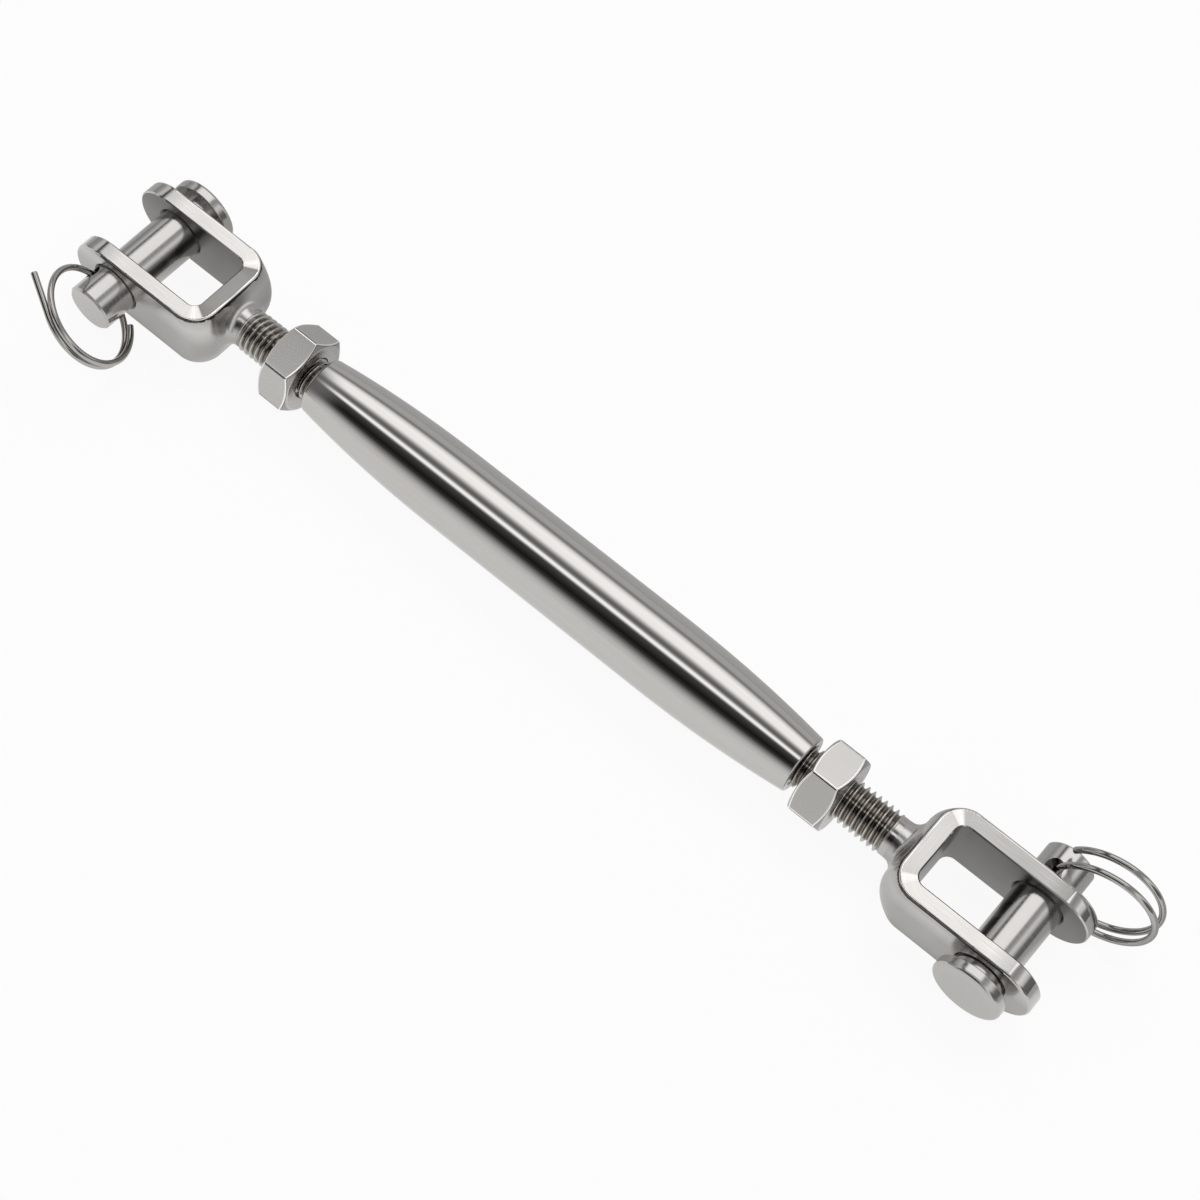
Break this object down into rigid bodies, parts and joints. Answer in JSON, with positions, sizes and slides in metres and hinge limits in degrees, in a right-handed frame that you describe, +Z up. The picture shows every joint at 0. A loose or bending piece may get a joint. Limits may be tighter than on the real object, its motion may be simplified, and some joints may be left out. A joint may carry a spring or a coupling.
{
  "type": "shroud adjuster",
  "caption": "Closed-body rigging screw: a tapered barrel draws two threaded forks together, each with a lock nut, a headed clevis pin and a split ring.",
  "frame": {"origin": "centre of the left clevis pin, half way between its fork's ears", "axes": "+X along the screw, from the left-hand-threaded fork to the right-hand-threaded one; +Y along the left clevis pin towards its head; +Z up as the object lies"},
  "size_m": [0.2743, 0.0556, 0.0255],
  "materials": {
    "polished": "polished",
    "brushed": "brushed",
    "satin": "satin",
    "pin": "polished",
    "wire": "polished"
  },
  "bodies": {
    "barrel": {"barrel": "polished"},
    "left_nut": {"left_nut": "brushed"},
    "right_nut": {"right_nut": "brushed"},
    "left_fork": {"left_fork": "satin"},
    "right_fork": {"right_fork": "satin"},
    "left_pin": {"left_pin": "pin"},
    "right_pin": {"right_pin": "pin"},
    "left_ring": {"left_ring": "wire"},
    "right_ring": {"right_ring": "wire"}
  },
  "joints": [
    {"name": "left_fork_slide", "type": "slide", "parent": "barrel", "child": "left_fork", "axis": [-1, 0, 0], "range_m": [-0.009, 0.0255]},
    {"name": "right_fork_slide", "type": "slide", "parent": "barrel", "child": "right_fork", "axis": [1, 0, 0], "range_m": [-0.00901, 0.02551]},
    {"name": "left_nut_turn", "type": "hinge", "parent": "barrel", "child": "left_nut", "pos_m": [0.0441, 0, 0], "axis": [-1, 0, 0], "range_deg": [-2163, 6123]},
    {"name": "right_nut_turn", "type": "hinge", "parent": "barrel", "child": "right_nut", "pos_m": [0.1925, 0, 0], "axis": [-1, 0, 0], "range_deg": [-2163, 6123]},
    {"name": "left_pin_turn", "type": "hinge", "parent": "left_fork", "child": "left_pin", "pos_m": [0, 0, 0], "axis": [0, 1, 0], "continuous": true},
    {"name": "right_pin_turn", "type": "hinge", "parent": "right_fork", "child": "right_pin", "pos_m": [0.2398, 0, 0], "axis": [0, 1, 0], "continuous": true},
    {"name": "left_ring_swing", "type": "hinge", "parent": "left_pin", "child": "left_ring", "pos_m": [0, -0.0144, 0], "axis": [0.766, 0, -0.6428], "range_deg": [-43, 107]},
    {"name": "right_ring_swing", "type": "hinge", "parent": "right_pin", "child": "right_ring", "pos_m": [0.2398, 0.0144, 0], "axis": [-0.309, 0, 0.9511], "range_deg": [-2, 130]}
  ],
  "couplings": [
    {"joint": "right_fork_slide", "follows": "left_fork_slide", "ratio": 1},
    {"joint": "left_nut_turn", "follows": "left_fork_slide", "rad_per_m": 4188.8},
    {"joint": "right_nut_turn", "follows": "left_fork_slide", "rad_per_m": 4188.8}
  ]
}
